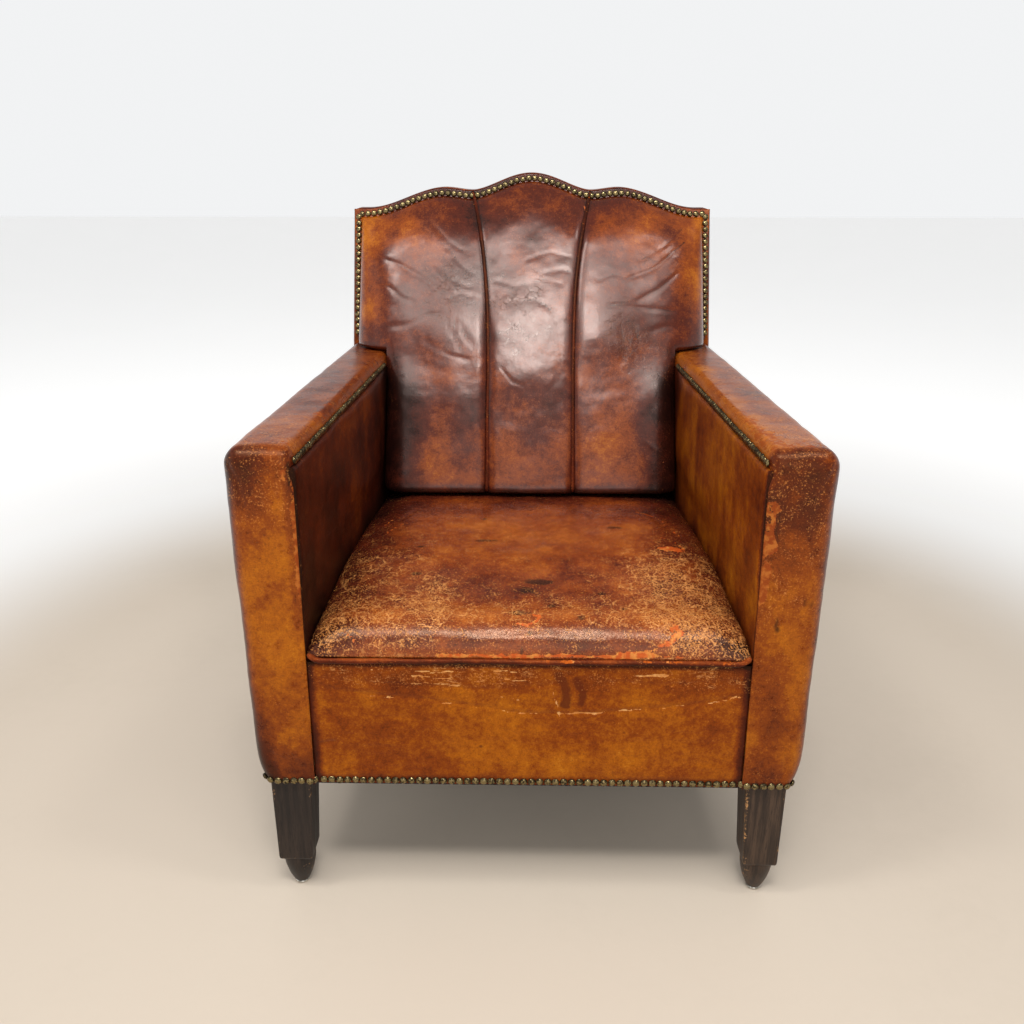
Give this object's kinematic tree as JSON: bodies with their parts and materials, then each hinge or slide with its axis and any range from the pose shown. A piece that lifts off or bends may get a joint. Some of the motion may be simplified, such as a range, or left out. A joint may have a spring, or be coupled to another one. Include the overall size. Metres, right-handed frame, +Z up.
{
  "type": "club chair",
  "caption": "Leather club chair with straight padded arms, a humped welted back, close nailing and tapered wooden legs, its hide worn and cracked.",
  "frame": {"origin": "middle of the footprint's bounding box, on the floor under the glides", "axes": "+Z up, +Y to the back of the chair, +X to the right as the chair is seen from the front"},
  "size_m": [0.6988, 0.7644, 0.9075],
  "materials": {
    "cover_leather": "burnished sheepskin, dark and cracked, worn to amber at the edges",
    "seat_leather": "burnished sheepskin, red-brown, fine cracks and orange wear",
    "welt_leather": "rolled sheepskin piping, dark, rubbed red at the top",
    "nail_brass": "antiqued domed heads",
    "stuffing_fibre": "rubberised hair and fibre",
    "jute": "woven jute webbing and hessian",
    "spring_steel": "drawn steel wire, oiled",
    "frame_beech": "planed raw beech",
    "leg_wood": "dark stained beech, satin, chipped at the edges",
    "glide_nickel": "nickel-plated nail-on glide, scuffed",
    "dust_cambric": "black woven dust cloth"
  },
  "bodies": {
    "root": {"arm_cover_left": "cover_leather", "arm_cover_right": "cover_leather", "inside_arm_panel_left": "cover_leather", "inside_arm_panel_right": "cover_leather", "front_band": "cover_leather", "inside_back_side_panel_left": "cover_leather", "inside_back_side_panel_right": "cover_leather", "inside_back_middle_panel": "cover_leather", "outside_back_cover": "cover_leather", "seat_cover": "seat_leather", "seat_welt": "welt_leather", "back_welt_left": "welt_leather", "back_welt_right": "welt_leather", "arm_nail_row_left": "nail_brass", "arm_nail_row_right": "nail_brass", "back_nail_row": "nail_brass", "base_nail_row": "nail_brass", "arm_padding_left": "stuffing_fibre", "arm_padding_right": "stuffing_fibre", "seat_padding": "stuffing_fibre", "back_padding": "stuffing_fibre", "spring_hessian": "jute", "seat_webbing_left": "jute", "seat_webbing_middle": "jute", "seat_webbing_right": "jute", "seat_webbing_front": "jute", "seat_webbing_rear": "jute", "seat_spring_front_left": "spring_steel", "seat_spring_front_middle": "spring_steel", "seat_spring_front_right": "spring_steel", "seat_spring_rear_left": "spring_steel", "seat_spring_rear_middle": "spring_steel", "seat_spring_rear_right": "spring_steel", "arm_post_left": "frame_beech", "arm_post_right": "frame_beech", "arm_rail_left": "frame_beech", "arm_rail_right": "frame_beech", "arm_stuffing_rail_left": "frame_beech", "arm_stuffing_rail_right": "frame_beech", "back_post_left": "frame_beech", "back_post_right": "frame_beech", "back_crest_rail": "frame_beech", "back_lower_rail": "frame_beech", "seat_rail_front": "frame_beech", "seat_rail_rear": "frame_beech", "seat_rail_side_left": "frame_beech", "seat_rail_side_right": "frame_beech", "corner_block_front_left": "frame_beech", "corner_block_front_right": "frame_beech", "corner_block_rear_left": "frame_beech", "corner_block_rear_right": "frame_beech", "leg_front_left": "leg_wood", "leg_front_right": "leg_wood", "leg_rear_left": "leg_wood", "leg_rear_right": "leg_wood", "glide_front_left": "glide_nickel", "glide_front_right": "glide_nickel", "glide_rear_left": "glide_nickel", "glide_rear_right": "glide_nickel", "dust_cover": "dust_cambric"}
  },
  "joints": []
}
